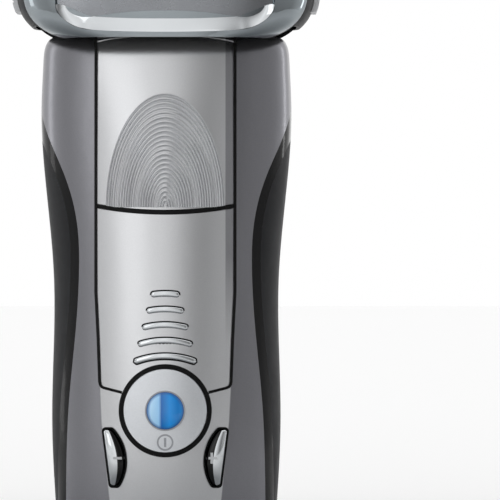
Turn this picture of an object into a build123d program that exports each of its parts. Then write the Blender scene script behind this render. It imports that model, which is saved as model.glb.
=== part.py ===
from build123d import *
import os
from math import cos, sin, pi, copysign, radians

# Foil shaver: a handle standing on its base, a tilting head with a lift-off foil cassette,
# and a pop-out long-hair trimmer at the back that the front thumb slide drives.
# Millimetres. +Z up, -Y is the front, the origin is the middle of the base.

# ---- Handle ---------------------------------------------------------------------------
handle_height = 132.2          # base to the top of the neck
handle_half_width = 30.15      # at the widest, the shoulder
handle_half_depth = 16.2       # at the deepest, the belly
handle_power = 2.8             # superellipse power of the cross-section
wall = 2.6
split_y = 1.5                  # where the front and rear housings meet
cap_height = 9.0               # bottom cap

# Stations up the handle: height, how much narrower and shallower than the largest size,
# then the centre ridge's half-width and its height above the housing.
# The last five are measured down from the top of the neck.
base_stations = [
    (0.0, 11.4, 6.2, 9.0, 0.1),
    (1.6, 8.4, 4.0, 10.0, 0.3),
    (5.0, 5.9, 2.3, 11.0, 0.6),
    (12.0, 4.2, 1.1, 12.2, 1.0),
    (22.0, 3.35, 0.5, 13.4, 1.4),
    (40.0, 2.6, 0.0, 15.2, 1.9),
    (73.8, 3.05, 0.4, 16.8, 2.0),
]
neck_stations = [
    (37.2, 1.25, 0.8, 16.8, 2.0),
    (17.7, 0.0, 1.5, 16.8, 1.8),
    (6.2, 0.45, 2.5, 16.8, 1.2),
    (1.8, 1.1, 3.8, 16.8, 1.0),
    (0.0, 2.7, 5.8, 16.8, 0.8),
]

# ---- Side grips -----------------------------------------------------------------------
grip_thickness = 1.4
grip_trim_width = 2.1          # glossy strip between the housing and the soft grip
# The front edge of the grips: how far in from the widest point, and the height
grip_line = [
    (-0.6, 121.5), (0.5, 112.7), (2.5, 106.9), (5.5, 100.0), (7.8, 93.3), (9.3, 84.5), (9.5, 77.0),
    (8.45, 59.5), (7.05, 45.0), (6.35, 28.0), (6.3, cap_height),
]

# ---- Front panel: the thumb slide above and the fixed plate below ----------------------
panel_half_width = 16.5
seam_gap = 0.3                 # around the panel pieces
panel_bed = 11.0               # the channel's floor, in front of the handle's middle
bed_thickness = 1.8
panel_cut_height = 90.0        # middle of the arc gap between slide and plate
panel_cut_gap = 1.2
panel_cut_radius = 89.6
plate_taper_height = 71.0
plate_foot_half_width = 15.5
plate_foot_height = 48.5
plate_sill_height = 46.6
plate_sill_half_width = 9.0
plate_corner_radius = 1.2
slide_travel = 3.0
slide_shell = 2.5              # side wall of the hollow slide
slide_skin = 3.4               # the slide's front wall, from the ridge's deepest point
slide_hollow_rise, slide_hollow_drop = 4.5, 12.0    # above the arc gap, below the neck's top
stem_half_width = 2.5          # post that drives the carriage
stem_rise, stem_height = 6.0, 8.0    # above the arc gap
stem_clearance = 0.5
carriage_half_width = 9.0
carriage_thickness = 1.6
arm_width, arm_height = 1.8, 3.4
arm_reach = 0.5                # behind the handle's middle
carriage_gap = 0.3             # between the carriage and the panel bed

# ---- Accent bars ----------------------------------------------------------------------
bar_count = 5
bar_top_height = 70.56         # middle of the top bar
bar_pitch = 3.71
bar_thickness = 1.36
bar_radius = 20.2
bar_first_width = 6.8
bar_width_step = 2.11
bar_depth = 1.8
proud = 0.3                    # how far trims and buttons stand out of the ridge

# ---- Buttons --------------------------------------------------------------------------
power_height = 42.74
power_radius = 9.88
power_ring_radius = 11.1
ring_depth = 0.4               # the gasket, behind the housing's inner face
flange_step = 0.3
lens_depth = 2.6
lens_seat_gap = 0.02
face_rise = 1.9                # the button's face above the handle's deepest front
button_gap = 0.12
power_lens_radius = 4.45
lens_rise = 0.75
power_travel = 0.6
side_button_top = (12.8, 14.8, 38.3)      # inner x, outer x, height
side_button_foot = (11.3, 13.1, 24.7)
side_button_bulge = (9.6, 31.2)           # the inner edge's furthest point
side_button_proud = 0.7
side_gasket_width = 0.45
side_button_corner = 0.55
flange_clearance = 0.15        # of the side buttons' flanges in their openings
button_rear = 9.4              # buttons' rear faces, in front of the handle's middle

# ---- Charge display -------------------------------------------------------------------
display_height = 15.2
display_tail = 0.6             # the window, behind the housing's inner face
display_width, display_tall, display_corner = 11.0, 4.2, 1.2

# ---- Inside the handle ----------------------------------------------------------------
board_front = 5.6
board_thickness = 1.2
board_half_width = 16.0
board_low, board_high = 20.0, 90.0
switch_size, switch_height = 5.0, 1.8
plunger_radius = 1.3
plunger_gap = 0.3              # between a button at full press and its switch
led_offset, led_size = 5.0, 2.0
battery_radius = 7.0
battery_length = 50.0
battery_low = 26.0
battery_y = 4.4
battery_nub_radius, battery_nub_height = 2.6, 0.9
tab_thickness, tab_half_width = 0.4, 3.0
chassis_half_width = 19.5
chassis_rail = 1.6
chassis_rear = 9.0             # behind the handle's middle
chassis_top_rail, chassis_foot_rail = 2.0, 2.5
band_height = 3.0              # the two saddles that hold the cell
band_front = 5.0               # in front of the cell's middle
band_low, band_high = 6.0, 12.0      # above the cell's foot, below its top
ear_reach, ear_half_height = 1.6, 2.4
chassis_low, chassis_high = 16.0, 95.0
chassis_screw_radius = 1.1
chassis_screw_head, chassis_screw_head_height = 1.9, 1.3
screw_end_gap = 0.2
boss_offset = 2.0              # boss middles outside the chassis
boss_from_foot, boss_from_top = 4.0, 5.0
ear_front, ear_rear = 5.2, 3.0 # the chassis' ears, in front of the handle's middle
boss_hole_end = 8.8
boss_radius = 2.1

# ---- Power socket ---------------------------------------------------------------------
socket_half_width, socket_half_depth = 5.5, 3.3
socket_wall = 1.8
socket_depth = 10.6
socket_gap = 0.2               # round the socket in the chassis
socket_pin_radius = 0.8
socket_pin_offset = 2.4
socket_pin_recess = 4.6        # from the base to the tips of the pins
cap_screw_offset = 12.5
cap_screw_radius = 1.2
cap_screw_head, cap_screw_head_height = 2.2, 1.7
cap_screw_recess = 0.5         # heads below the base
cap_boss_wall = 1.0
cap_boss_gap = 0.6             # bosses below the cap's upper edge
screw_bite = 1.0               # into the chassis
cross_slot, cross_depth = 0.3, 0.7   # half-width and depth
pin_tail = 1.5                 # pins behind the socket

# ---- Hinge between handle and head ----------------------------------------------------
hinge_rise = 2.8               # hinge axis above the top of the neck
hinge_pin_radius = 1.5
hinge_clearance = 0.05
yoke_inner, yoke_outer = 20.2, 23.0
yoke_radius = 2.3
yoke_gap = 0.3
yoke_foot = 7.0                # cross-bar's underside, below the neck's ceiling
yoke_bar_height = 2.4
yoke_bar_front, yoke_bar_rear = 6.0, 5.0
yoke_window = (10.0, 3.0)      # half-width and half-depth of the opening for the wires
seal_low, seal_high = 2.0, 0.4       # below the neck's top
bracket_radius = 2.4
bracket_gap = 0.4
bracket_outer = 26.2

# ---- Head -----------------------------------------------------------------------------
head_overhang = 5.55           # black housing's half-width beyond the handle's
head_half_depth = 20.2
head_power = 4.0
head_wall = 0.9
bezel_inset = 0.6              # bezel narrower than the housing in the front view
bezel_thickness = 1.8
# Stations up the head from its lower lip: height, narrower by, shallower by
head_stations = [
    (0.0, 9.7, 0.7), (1.7, 5.3, 0.5), (4.1, 2.3, 0.25), (8.9, 0.0, 0.0),
    (14.4, 0.2, 0.3), (18.4, 1.4, 1.4),
]
lip_drop = 3.4                 # lip below the hinge axis
ceiling_rise = 3.0             # floor of the motor chamber above the hinge axis
floor_thickness = 1.4
deck_thickness = 1.6
end_notch_x, end_notch_half_depth = 24.0, 13.0
chamber_inset_w, chamber_inset_d = 2.0, 1.6
chamber_half_width = 32.0
end_notch_rise = 0.4           # below the hinge axis
scoop_half_width = 26.1
# Right half of the recess's lower edge: from the middle or, last, in from its end, and above the lip
scoop_edge = [(0.0, 1.2), (16.0, 1.6), (21.0, 2.4)]
scoop_corner, scoop_side_height = (1.6, 4.6), 7.8
scoop_depth = 1.25
seat_gap = 0.35

# ---- Cassette -------------------------------------------------------------------------
cassette_half_width = 25.6
cassette_half_depth = 20.6
cassette_height = 7.6
cassette_wall = 1.5
cassette_floor = 1.2           # floor's thickness
cassette_power = 5.0
# Stations up the cassette: share of its height, narrower by, shallower by
cassette_stations = [(0.0, 0.0, 0.0), (0.6, 0.2, 1.0), (1.0, 1.0, 3.2)]
foil_room = 0.6                # in front of and behind the foils
window_half_width, window_half_depth = 8.0, 4.2    # openings for the drive pins
rib_inner, rib_outer, rib_height = 3.3, 4.1, 3.4
skirt_front_gap = 0.05         # skirt behind the bezel's face
hanger_inset = 0.4
skirt_thickness = 0.85
skirt_end_height, skirt_cusp_height, skirt_mid_height = 8.2, 4.8, 6.3   # above the lip
skirt_cusp_x = 17.4

# ---- Foils, cutters and middle trimmer ------------------------------------------------
foil_radius = 4.9
foil_thickness = 0.25
foil_half_length = 22.6
foil_offset = 9.7              # each foil's middle from the head's middle
foil_leg = 3.6
foil_end = 1.3                 # plastic end plates
foil_float = 2.0
foil_lift = 0.2                # legs above the floor when pressed right down
cutter_gap = 0.15
cutter_half_length = 20.2
cutter_blade_pitch = 1.5
cutter_blade_thickness = 0.5
cutter_core_radius = 3.4
cutter_foot = 1.0              # below the foils' axis
socket_clearance = 0.1         # round the drive pins
pin_socket_low, pin_socket_height = 5.0, 7.6
cutter_stroke = 1.2
middle_half_width = 2.5
middle_height = 8.6            # above the cassette's floor
middle_tooth_pitch, middle_slot = 1.6, 0.8
middle_slot_depth = 1.6
middle_spine = 0.5             # half-width left between the two rows of teeth
middle_end_wall, middle_side_wall, middle_roof = 1.0, 0.7, 0.6
blade_side_gap, blade_foot, blade_top_gap, blade_end_gap = 0.3, 1.0, 0.2, 0.4

# ---- Motor ----------------------------------------------------------------------------
motor_half_width, motor_half_depth = 17.0, 14.0
motor_corner = 3.0
motor_wall, motor_base = 2.0, 1.2
motor_bore_half_depth = 9.0
motor_headroom = 1.3           # above the drive bars
coil_half_width, coil_half_depth, coil_corner = 11.0, 6.5, 2.5
coil_drop = 0.6
bar_half_length, bar_half_depth = 9.0, 2.2
bar_lift = 0.3                 # drive bars above the motor
slot_margin = 1.4              # round the drive pins in the deck
seal_width = 0.9
drive_pin_radius = 1.2
drive_bar_height = 1.6
pin_engagement = 0.2           # drive pins' tips above the foils' axis

# ---- Release buttons ------------------------------------------------------------------
release_half_depth = 7.0
release_low, release_high = 6.6, 15.2     # above the lip
release_proud = 1.2
release_travel = 1.1
release_inner = 5.4            # pocket's floor, in from the head's end
release_gap, release_spring_room = 0.3, 0.6
release_groove_count, release_groove_first, release_groove_pitch = 3, 2.6, 1.7
release_groove_half, release_groove_depth = 0.3, 0.45

# ---- Pop-out trimmer and head lock, at the back ---------------------------------------
trimmer_angle = 36.0           # slide direction from vertical
trimmer_half_width = 13.0
trimmer_y, trimmer_drop = 11.6, 18.2      # middle of the trimmer, below the neck's top
trimmer_inner = 2.6
trimmer_low, trimmer_high = -11.0, 3.0    # along its slide direction
trimmer_fit = 0.35
comb_thickness = 0.9
tooth_length = 1.9
tooth_pitch = 1.3
tooth_base, tooth_tip = 0.36, 0.2    # half-widths
teeth_inset = 1.0              # of the comb in from the trimmer's sides
teeth_side_gap = 0.4
comb_height = 5.0              # below the trimmer's upper end
blade_height, blade_drop = 4.2, 0.3
sheet_gap = 0.1
guide_half_width, guide_inner, guide_outer = 15.2, 4.6, 3.0
guide_foot, guide_head = 1.5, 1.0    # beyond the trimmer's ends
blade_stroke = 0.7
lock_half_width = 4.2
lock_low = 84.5
lock_length = 7.0
lock_travel = 4.0
lock_floor = 13.7
lock_gap = 0.4
lock_lift = 0.3                # under the slider
lock_proud = 0.5
lock_groove_count, lock_groove_first, lock_groove_pitch = 3, 1.7, 1.8
lock_groove_half, lock_groove_depth = 0.4, 0.55
contact_height = 25.0
contact_offset = 5.0
contact_radius = 1.8
contact_tail = 1.2             # behind the housing's inner face

far = 60.0                     # beyond the outside of anything

hinge_z = handle_height + hinge_rise
lip_z = hinge_z - lip_drop
head_half_width = handle_half_width + head_overhang
head_top = lip_z + head_stations[-1][0]
front = Plane.XZ               # sketches drawn as seen from the front, x right and z up


def superellipse(z, half_w, half_d, power, count=28):
    """Closed smooth ring round the Z axis at height z."""
    points = []
    for i in range(count):
        t = 2 * pi * i / count
        x = half_w * copysign(abs(cos(t)) ** (2 / power), cos(t))
        y = half_d * copysign(abs(sin(t)) ** (2 / power), sin(t))
        points.append((x, y, z))
    return Wire([Spline(*points, periodic=True).edge()])


def handle_stations():
    """Stations of the handle with heights from the base."""
    upper = [(handle_height - drop, *rest) for drop, *rest in neck_stations]
    return base_stations + upper


def handle_solid(inset=0.0):
    """The handle's outer form without its ridge, set in by an inset all round."""
    rings = [
        superellipse(z, handle_half_width - dw - inset, handle_half_depth - dd - inset, handle_power)
        for z, dw, dd, _, _ in handle_stations()
    ]
    return Solid.make_loft(rings)


def ridge_solid(lift=0.0):
    """The raised centre of the front: a shallow arch that meets the housing at its edges."""
    rings = []
    for z, dw, dd, w, rise in handle_stations():
        half_w, half_d = handle_half_width - dw, handle_half_depth - dd
        edge = half_d * (1 - (w / half_w) ** handle_power) ** (1 / handle_power)
        left, right = (-w, -edge - lift, z), (w, -edge - lift, z)
        arch = ThreePointArc(left, (0, -half_d - rise - lift, z), right)
        back = Polyline(right, (w, -2, z), (-w, -2, z), left)
        rings.append(Wire([arch.edge(), *back.edges()]))
    return Solid.make_loft(rings)


def slab(x0, x1, y0, y1, z0, z1):
    """Box between two corners."""
    size = (x1 - x0, y1 - y0, z1 - z0)
    return Pos((x0 + x1) / 2, (y0 + y1) / 2, (z0 + z1) / 2) * Box(*size)


def from_front(sketch, y_near, y_far):
    """Prism of a front-view sketch between two distances in front of the middle."""
    return Pos(0, -y_far, 0) * extrude(front * sketch, amount=y_near - y_far)


def rod_y(x, z, radius, y_near, y_far):
    """Round rod along Y, between two distances in front of the middle."""
    return from_front(Pos(x, z) * Circle(radius), y_near, y_far)


def both_sides(solid):
    """A solid and its mirror image across the middle."""
    return solid + mirror(solid, about=Plane.YZ)


def solids_of(shape):
    """A group of separate solids as one compound."""
    return Compound(children=list(shape.solids()))


def save(name, shape):
    export_step(shape, os.path.join("parts", name + ".step"))


# ---- Front panel outlines -------------------------------------------------------------
def panel_outline():
    """Slide and plate together: straight sides, a tapered foot and a sloping sill."""
    top = handle_height + 10
    right = [
        (plate_sill_half_width, plate_sill_height), (plate_foot_half_width, plate_foot_height),
        (panel_half_width, plate_taper_height), (panel_half_width, top),
    ]
    left = [(-x, z) for x, z in reversed(right)]
    face = make_face(Polyline(*right, *left, close=True))
    corners = [v for v in face.vertices() if abs(v.Y - plate_foot_height) < 0.01]
    return fillet(corners, plate_corner_radius)


def above_cut(gap):
    """Everything above the sagging arc between slide and plate."""
    low = panel_cut_height + gap
    disc = Pos(0, low + panel_cut_radius) * Circle(panel_cut_radius)
    return disc & (Pos(0, low + far) * Rectangle(2 * far, 2 * far))


def grip_region(inset):
    """Side view region of the right grip: everything outside its front edge line."""
    line = [(handle_half_width - dx + inset, z) for dx, z in grip_line]
    edge = Spline(*line)
    (x_top, z_top), (x_low, z_low) = line[0], line[-1]
    close = Polyline((x_low, z_low), (far, z_low), (far, z_top), (x_top, z_top))
    return make_face([edge, close])


def grip_prism(side, inset):
    """The grip's region through the whole depth of the handle, on either side."""
    prism = from_front(grip_region(inset), far, -far)
    return mirror(prism, about=Plane.YZ) if side == "left" else prism


def side_button_outline(grow=0.0):
    """Right-hand D: straight slanted outer edge, bulging inner edge."""
    (xi, xo, zt), (yi, yo, zf), (xb, zb) = side_button_top, side_button_foot, side_button_bulge
    inner = ThreePointArc((xi, zt), (xb, zb), (yi, zf))
    face = make_face([inner, Polyline((yi, zf), (yo, zf), (xo, zt), (xi, zt))])
    face = fillet(face.vertices(), side_button_corner)
    return offset(face, amount=grow) if grow else face


# ---- Handle pieces --------------------------------------------------------------------
def make_handle():
    shell = handle_solid()
    ridge = ridge_solid()
    body = shell + ridge
    proud_ridge = ridge_solid(proud)
    layer = shell - handle_solid(grip_thickness)
    cavity = handle_solid(wall) & slab(-far, far, -far, far, cap_height - 5, handle_height - wall)
    behind = slab(
        -panel_half_width - wall, panel_half_width + wall, -far, -(panel_bed - bed_thickness),
        plate_sill_height - wall, far * 3,
    )
    cavity -= behind

    # grips and their glossy trims wrap round each side in a layer of their own
    dressed = body
    for side in ("left", "right"):
        grip_all = grip_prism(side, 0)
        grip_soft = grip_prism(side, grip_trim_width)
        save(side + "_grip", layer & grip_soft)
        save(side + "_grip_trim", (layer & grip_all) - grip_soft)
        dressed -= grip_all
    dressed += handle_solid(grip_thickness)

    # front panel
    outline = panel_outline()
    pocket = from_front(offset(outline, amount=seam_gap), far, panel_bed)
    slide_face = outline & above_cut(panel_cut_gap / 2)
    plate_face = outline - above_cut(-panel_cut_gap / 2)
    plate_face -= Pos(0, power_height) * Circle(power_ring_radius)
    slide = body & from_front(slide_face, far, panel_bed + seam_gap)
    hollow_front = handle_half_depth - slide_skin
    slide -= slab(
        slide_shell - panel_half_width, panel_half_width - slide_shell, -hollow_front, 0,
        panel_cut_height + slide_hollow_rise, handle_height - slide_hollow_drop,
    )
    stem_low = panel_cut_height + stem_rise
    stem = slab(-stem_half_width, stem_half_width, -hollow_front, -panel_bed, stem_low, stem_low + stem_height)
    save("trimmer_slide", slide + stem)

    plate = body & from_front(plate_face, far, panel_bed)
    bars = [bar_outline(i) for i in range(bar_count)]
    ridge_front = handle_half_depth + ridge_height_at_bars()
    for bar in bars:
        plate -= from_front(bar, far, ridge_front - bar_depth)
    save("front_plate", plate)
    bar_solids = [proud_ridge & from_front(bar, far, ridge_front - bar_depth) for bar in bars]
    save("accent_bars", Compound(children=[b.solids()[0] for b in bar_solids]))

    front_housing = dressed & slab(-far, far, -far, split_y, cap_height, far * 3)
    front_housing = front_housing - cavity - pocket
    front_housing -= rod_y(0, power_height, power_ring_radius, far, 0)
    side_hole = from_front(side_button_outline(side_gasket_width), far, 0)
    front_housing -= both_sides(side_hole)
    slot_half = stem_half_width + stem_clearance
    front_housing -= slab(-slot_half, slot_half, -far, 0, stem_low - stem_clearance,
                          stem_low + stem_height + slide_travel + stem_clearance)
    display = from_front(display_outline(), far, 0)
    front_housing -= display
    boss_room = handle_solid(grip_thickness)
    for x, z in chassis_screw_places():
        front_housing += rod_y(x, z, boss_radius, handle_half_depth, ear_front) & boss_room
        front_housing -= rod_y(x, z, chassis_screw_radius, boss_hole_end, 0)
    front_housing -= yoke_slots(yoke_gap)
    save("front_housing", keep_largest(front_housing))

    rear_housing = dressed & slab(-far, far, split_y, far, cap_height, far * 3)
    rear_housing -= cavity
    rear_housing -= trimmer_block(trimmer_fit, trimmer_low - trimmer_fit, far)
    rear_housing -= slab(
        -lock_half_width - lock_gap, lock_half_width + lock_gap, lock_floor, far,
        lock_low - lock_gap, lock_low + lock_length + lock_travel + lock_gap,
    )
    for x in (-1, 1):
        rear_housing -= rod_y(x * contact_offset, contact_height, contact_radius, 0, -far)
    rear_housing -= yoke_slots(yoke_gap)
    save("rear_housing", keep_largest(rear_housing))

    contacts = [
        shell & rod_y(x * contact_offset, contact_height, contact_radius, 0, -far)
        & slab(-far, far, handle_half_depth - wall - contact_tail, far, 0, far)
        for x in (-1, 1)
    ]
    save("charge_contacts", Compound(children=[c.solids()[0] for c in contacts]))

    lock = slab(-lock_half_width, lock_half_width, lock_floor + lock_lift, far,
                lock_low, lock_low + lock_length)
    lock &= handle_solid(-lock_proud)
    for i in range(lock_groove_count):
        z = lock_low + lock_groove_first + i * lock_groove_pitch
        lock -= slab(-far, far, handle_half_depth - lock_groove_depth, far,
                     z - lock_groove_half, z + lock_groove_half)
    save("head_lock_slider", lock)

    make_bottom(shell)
    make_buttons(body, proud_ridge)
    save("display_window", body & from_front(display_outline(), far, handle_half_depth - wall - display_tail))
    make_trimmer(shell, cavity)


def keep_largest(shape):
    """The main solid of a cut, without specks."""
    return max(shape.solids(), key=lambda s: s.volume)


def ridge_height_at_bars():
    """Ridge height at the accent bars, the same as at the station beside them."""
    return base_stations[-1][4] - base_stations[-1][2]


def bar_outline(i):
    """One curved bar of the fan under the slide, with rounded ends."""
    width = bar_first_width + i * bar_width_step
    z = bar_top_height - i * bar_pitch
    half_angle = (width - bar_thickness) / 2 / bar_radius
    x, sag = bar_radius * sin(half_angle), bar_radius * (1 - cos(half_angle))
    arc = ThreePointArc((-x, z - sag), (0, z), (x, z - sag))
    return SlotArc(arc, bar_thickness)


def display_outline():
    """Charge display low on the front, with rounded corners."""
    return Pos(0, display_height) * RectangleRounded(display_width, display_tall, display_corner)


# ---- Bottom ---------------------------------------------------------------------------
def stadium(half_w, half_d, z0, z1):
    """Upright block with fully rounded ends."""
    shape = SlotOverall(2 * half_w, 2 * half_d)
    return Pos(0, 0, z0) * extrude(shape, amount=z1 - z0)


def make_bottom(shell):
    cap = shell & slab(-far, far, -far, far, 0, cap_height)
    cap -= handle_solid(wall) & slab(-far, far, -far, far, wall, cap_height)
    socket_w, socket_d = socket_half_width + socket_wall, socket_half_depth + socket_wall
    cap -= stadium(socket_w, socket_d, 0, cap_height)
    boss_low = wall - 0.5
    boss_height = cap_height - cap_boss_gap - boss_low
    seat = cap_screw_recess + cap_screw_head_height
    for x in (-cap_screw_offset, cap_screw_offset):
        cap += Pos(x, 0, boss_low) * extrude(Circle(cap_screw_head + cap_boss_wall), amount=boss_height)
        cap -= Pos(x, 0, 0) * extrude(Circle(cap_screw_radius), amount=far)
        cap -= Pos(x, 0, 0) * extrude(Circle(cap_screw_head), amount=seat)
    save("bottom_cap", cap)

    screws = []
    for x in (-cap_screw_offset, cap_screw_offset):
        head = Pos(x, 0, cap_screw_recess) * extrude(Circle(cap_screw_head - 0.1), amount=cap_screw_head_height)
        arm, half, slot_top = cap_screw_radius, cross_slot, cap_screw_recess + cross_depth
        head -= slab(x - arm, x + arm, -half, half, 0, slot_top)
        head -= slab(x - half, x + half, -arm, arm, 0, slot_top)
        shank = Pos(x, 0, seat) * extrude(Circle(cap_screw_radius), amount=chassis_low + screw_bite - seat)
        screws.append((head + shank).solids()[0])
    save("cap_screws", Compound(children=screws))

    socket = stadium(socket_w, socket_d, 0, socket_depth + socket_wall)
    socket -= stadium(socket_half_width, socket_half_depth, 0, socket_depth)
    pins = []
    for x in (-socket_pin_offset, socket_pin_offset):
        socket -= Pos(x, 0, 0) * extrude(Circle(socket_pin_radius), amount=far)
        pin = Pos(x, 0, socket_pin_recess) * extrude(
            Circle(socket_pin_radius), amount=socket_depth + socket_wall + pin_tail - socket_pin_recess
        )
        pin = fillet(pin.edges().sort_by(Axis.Z)[0], socket_pin_radius * 0.6)
        pins.append(pin.solids()[0])
    save("power_socket", socket)
    save("socket_pins", Compound(children=pins))


# ---- Buttons --------------------------------------------------------------------------
def make_buttons(body, proud_ridge):
    """Power button with its gasket and lens, and the two D-shaped buttons with theirs."""
    ring_rear = handle_half_depth - wall - ring_depth
    ring = Circle(power_ring_radius) - Circle(power_radius + button_gap)
    save("button_gasket", proud_ridge & from_front(Pos(0, power_height) * ring, far, ring_rear))

    button = proud_ridge & rod_y(0, power_height, power_radius, far, button_rear)
    button += rod_y(0, power_height, power_ring_radius - flange_step, ring_rear - flange_step, button_rear)
    face_y = handle_half_depth + face_rise + proud
    lens_seat = rod_y(0, power_height, power_lens_radius + lens_seat_gap, far, face_y - lens_depth)
    button -= lens_seat
    save("power_button", button)
    lens = rod_y(0, power_height, power_lens_radius, face_y + 0.1, face_y - lens_depth)
    dome_radius = (power_lens_radius ** 2 + lens_rise ** 2) / (2 * lens_rise)
    dome = Pos(0, -(face_y + lens_rise - dome_radius), power_height) * Sphere(dome_radius)
    dome &= rod_y(0, power_height, power_lens_radius, far, face_y - 0.1)
    save("power_lens", lens + dome)

    inner = side_button_outline(0)
    outer = side_button_outline(side_gasket_width - flange_clearance)
    crown = ridge_solid(side_button_proud)
    cap = crown & from_front(inner, far, button_rear)
    cap += from_front(outer, ring_rear - 2 * flange_step, button_rear)
    save("plus_button", cap)
    save("minus_button", mirror(cap, about=Plane.YZ))
    rim = offset(inner, amount=side_gasket_width) - offset(inner, amount=button_gap)
    gasket = proud_ridge & from_front(rim, far, ring_rear)
    save("side_button_gaskets", solids_of(both_sides(keep_largest(gasket))))


# ---- Inside the handle ----------------------------------------------------------------
def switch_places():
    """Where the three switches sit behind their buttons: x and z."""
    side_x = (side_button_top[1] + side_button_bulge[0]) / 2
    return [(0, power_height), (-side_x, side_button_bulge[1]), (side_x, side_button_bulge[1])]


def chassis_screw_places():
    """The four screws that hold the chassis to the front housing: x and z."""
    x = chassis_half_width + boss_offset
    heights = (chassis_low + boss_from_foot, chassis_high - boss_from_top)
    return [(side * x, z) for side in (-1, 1) for z in heights]


def make_inside():
    board = slab(
        -board_half_width, board_half_width, -board_front, -(board_front - board_thickness),
        board_low, board_high,
    )
    save("main_board", board)

    switches = []
    plunger_front = button_rear - power_travel - plunger_gap
    can_front = board_front + switch_height
    for x, z in switch_places():
        half = switch_size / 2
        can = slab(x - half, x + half, -can_front, -board_front, z - half, z + half)
        plunger = rod_y(x, z, plunger_radius, plunger_front, can_front)
        switches.append((can + plunger).solids()[0])
    save("push_switches", Compound(children=switches))

    half = led_size / 2
    led = slab(led_offset - half, led_offset + half, -board_front - half, -board_front,
               power_height - half, power_height + half)
    save("ring_light", led)

    top = battery_low + battery_length
    cell = Pos(0, battery_y, battery_low) * extrude(Circle(battery_radius), amount=battery_length)
    cell += Pos(0, battery_y, top) * extrude(Circle(battery_nub_radius), amount=battery_nub_height)
    save("battery_cell", cell)
    tabs = [
        slab(-tab_half_width, tab_half_width, -(board_front - board_thickness), battery_y + tab_half_width,
             z0, z0 + tab_thickness)
        for z0 in (battery_low - tab_thickness, top + battery_nub_height)
    ]
    save("battery_tabs", Compound(children=[t.solids()[0] for t in tabs]))

    # open frame that holds board and cell, screwed to the front housing's bosses
    w, rail = chassis_half_width, chassis_rail
    frame = slab(-w, w, -(board_front - board_thickness), chassis_rear, chassis_low, chassis_high)
    frame -= slab(-w + rail, w - rail, -far, far, chassis_low + chassis_foot_rail,
                  chassis_high - chassis_top_rail)
    for z0 in (battery_low + band_low, battery_low + battery_length - band_high):
        band = slab(-w + rail, w - rail, battery_y - band_front, chassis_rear, z0, z0 + band_height)
        frame += band - Pos(0, battery_y, 0) * extrude(Circle(battery_radius), amount=far * 3)
    for x, z in chassis_screw_places():
        side = copysign(1, x)
        near, tip = side * (w - rail), x + side * ear_reach
        frame += slab(min(near, tip), max(near, tip), -ear_front, -ear_rear,
                      z - ear_half_height, z + ear_half_height)
        frame -= rod_y(x, z, chassis_screw_radius, far, -far)
    for x in (-cap_screw_offset, cap_screw_offset):
        frame -= Pos(x, 0, 0) * extrude(Circle(cap_screw_radius), amount=chassis_low + 3)
    frame -= stadium(socket_half_width + socket_wall + socket_gap, socket_half_depth + socket_wall + socket_gap,
                     0, chassis_low + socket_gap)
    save("chassis", frame)

    screws = []
    for x, z in chassis_screw_places():
        shank = rod_y(x, z, chassis_screw_radius, boss_hole_end - screw_end_gap, ear_rear)
        head = rod_y(x, z, chassis_screw_head, ear_rear, ear_rear - chassis_screw_head_height)
        screws.append((shank + head).solids()[0])
    save("chassis_screws", Compound(children=screws))


# ---- Hinge ----------------------------------------------------------------------------
def yoke_arm(grow=0.0):
    """Right-hand arm: a flat upright with a round top about the hinge axis."""
    r = yoke_radius + grow
    low = handle_height - wall - yoke_foot + yoke_bar_height - 0.4
    arm = slab(yoke_inner - grow, yoke_outer + grow, -r, r, low, hinge_z)
    eye = Pos(yoke_inner - grow, 0, hinge_z) * Rot(0, 90, 0) * extrude(
        Circle(r), amount=yoke_outer - yoke_inner + 2 * grow
    )
    return arm + eye


def yoke_slots(gap):
    """Holes in the neck that the yoke arms pass through."""
    half = yoke_radius + gap
    return both_sides(slab(yoke_inner - gap, yoke_outer + gap, -half, half, handle_height - 2 * wall, far * 3))


def rod_x(x0, x1, radius):
    """Round rod along the hinge axis."""
    return Pos(x0, 0, hinge_z) * Rot(0, 90, 0) * extrude(Circle(radius), amount=x1 - x0)


def make_hinge():
    low = handle_height - wall - yoke_foot
    arms = both_sides(yoke_arm() - rod_x(0, far, hinge_pin_radius))
    base = slab(-yoke_outer, yoke_outer, -yoke_bar_front, yoke_bar_rear, low, low + yoke_bar_height)
    window_w, window_d = yoke_window
    base -= slab(-window_w, window_w, -window_d, window_d, 0, far * 3)
    save("hinge_yoke", arms + base)
    pin = rod_x(yoke_inner, bracket_outer - bracket_gap, hinge_pin_radius).solids()[0]
    save("hinge_pins", Compound(children=[pin, mirror(pin, about=Plane.YZ).solids()[0]]))
    ring = slab(yoke_inner - yoke_gap, yoke_outer + yoke_gap, -yoke_radius - yoke_gap, yoke_radius + yoke_gap,
                handle_height - seal_low, handle_height - seal_high)
    seal = both_sides(ring - yoke_arm())
    save("neck_seals", solids_of(seal))


# ---- Pop-out trimmer ------------------------------------------------------------------
def trimmer_plane():
    """Frame of the trimmer: local Z along its slide, local Y out of the back."""
    a = radians(trimmer_angle)
    origin = (0, trimmer_y, handle_height - trimmer_drop)
    return Plane(origin=origin, x_dir=(1, 0, 0), z_dir=(0, sin(a), cos(a)))


def trimmer_slab(x0, x1, y0, y1, z0, z1):
    """Box in the trimmer's own frame."""
    return trimmer_plane() * slab(x0, x1, y0, y1, z0, z1)


def trimmer_block(gap, z0, z1):
    """The trimmer's path with a clearance, open out of the back."""
    w = trimmer_half_width + gap
    return trimmer_slab(-w, w, -trimmer_inner - gap, far, z0, z1)


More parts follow.
